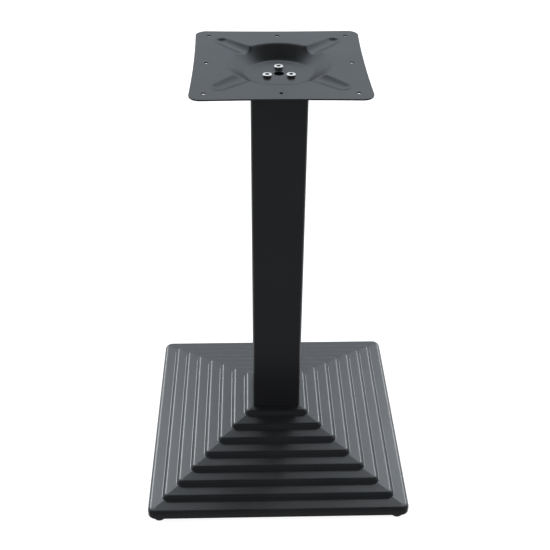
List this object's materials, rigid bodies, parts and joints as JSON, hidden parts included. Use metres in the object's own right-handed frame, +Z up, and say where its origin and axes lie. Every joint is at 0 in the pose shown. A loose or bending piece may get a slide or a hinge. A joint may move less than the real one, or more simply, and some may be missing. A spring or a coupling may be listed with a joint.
{
  "type": "table base",
  "caption": "Pedestal table base: square stepped cast foot on levelling feet, square steel column, pressed top plate with a round dish and fixing holes.",
  "frame": {"origin": "on the floor under the middle of the column", "axes": "+Z up the column, -Y towards the front of the picture, +X to the right"},
  "size_m": [0.43, 0.43, 0.71],
  "materials": {
    "cast_foot": "black satin powder coat on cast iron, fine texture",
    "painted_steel": "black satin powder coat on sheet and tube",
    "zinc_steel": "bright zinc plating",
    "pad_plastic": "moulded black plastic, fine matt grain"
  },
  "bodies": {
    "stand": {"base_casting": "cast_foot", "column_tube": "painted_steel", "column_foot_plate": "painted_steel", "column_head_plate": "painted_steel", "top_plate": "painted_steel", "top_plate_screws": "zinc_steel", "base_washers": "zinc_steel", "base_screws": "zinc_steel"},
    "pad_front_left": {"foot_pad_front_left": "pad_plastic"},
    "stud_front_left": {"foot_stud_front_left": "zinc_steel"},
    "pad_front_right": {"foot_pad_front_right": "pad_plastic"},
    "stud_front_right": {"foot_stud_front_right": "zinc_steel"},
    "pad_rear_left": {"foot_pad_rear_left": "pad_plastic"},
    "stud_rear_left": {"foot_stud_rear_left": "zinc_steel"},
    "pad_rear_right": {"foot_pad_rear_right": "pad_plastic"},
    "stud_rear_right": {"foot_stud_rear_right": "zinc_steel"}
  },
  "joints": [
    {"name": "foot_travel_front_left", "type": "slide", "parent": "stand", "child": "pad_front_left", "axis": [0, 0, -1], "range_m": [0, 0.006]},
    {"name": "stud_turn_front_left", "type": "hinge", "parent": "pad_front_left", "child": "stud_front_left", "pos_m": [-0.197, -0.197, 0], "axis": [0, 0, -1], "range_deg": [0, 1730]},
    {"name": "foot_travel_front_right", "type": "slide", "parent": "stand", "child": "pad_front_right", "axis": [0, 0, -1], "range_m": [0, 0.006]},
    {"name": "stud_turn_front_right", "type": "hinge", "parent": "pad_front_right", "child": "stud_front_right", "pos_m": [0.197, -0.197, 0], "axis": [0, 0, -1], "range_deg": [0, 1730]},
    {"name": "foot_travel_rear_left", "type": "slide", "parent": "stand", "child": "pad_rear_left", "axis": [0, 0, -1], "range_m": [0, 0.006]},
    {"name": "stud_turn_rear_left", "type": "hinge", "parent": "pad_rear_left", "child": "stud_rear_left", "pos_m": [-0.197, 0.197, 0], "axis": [0, 0, -1], "range_deg": [0, 1730]},
    {"name": "foot_travel_rear_right", "type": "slide", "parent": "stand", "child": "pad_rear_right", "axis": [0, 0, -1], "range_m": [0, 0.006]},
    {"name": "stud_turn_rear_right", "type": "hinge", "parent": "pad_rear_right", "child": "stud_rear_right", "pos_m": [0.197, 0.197, 0], "axis": [0, 0, -1], "range_deg": [0, 1730]}
  ],
  "couplings": [
    {"joint": "stud_turn_front_left", "follows": "foot_travel_front_left", "rad_per_m": 5026.5},
    {"joint": "stud_turn_front_right", "follows": "foot_travel_front_right", "rad_per_m": 5026.5},
    {"joint": "stud_turn_rear_left", "follows": "foot_travel_rear_left", "rad_per_m": 5026.5},
    {"joint": "stud_turn_rear_right", "follows": "foot_travel_rear_right", "rad_per_m": 5026.5}
  ]
}
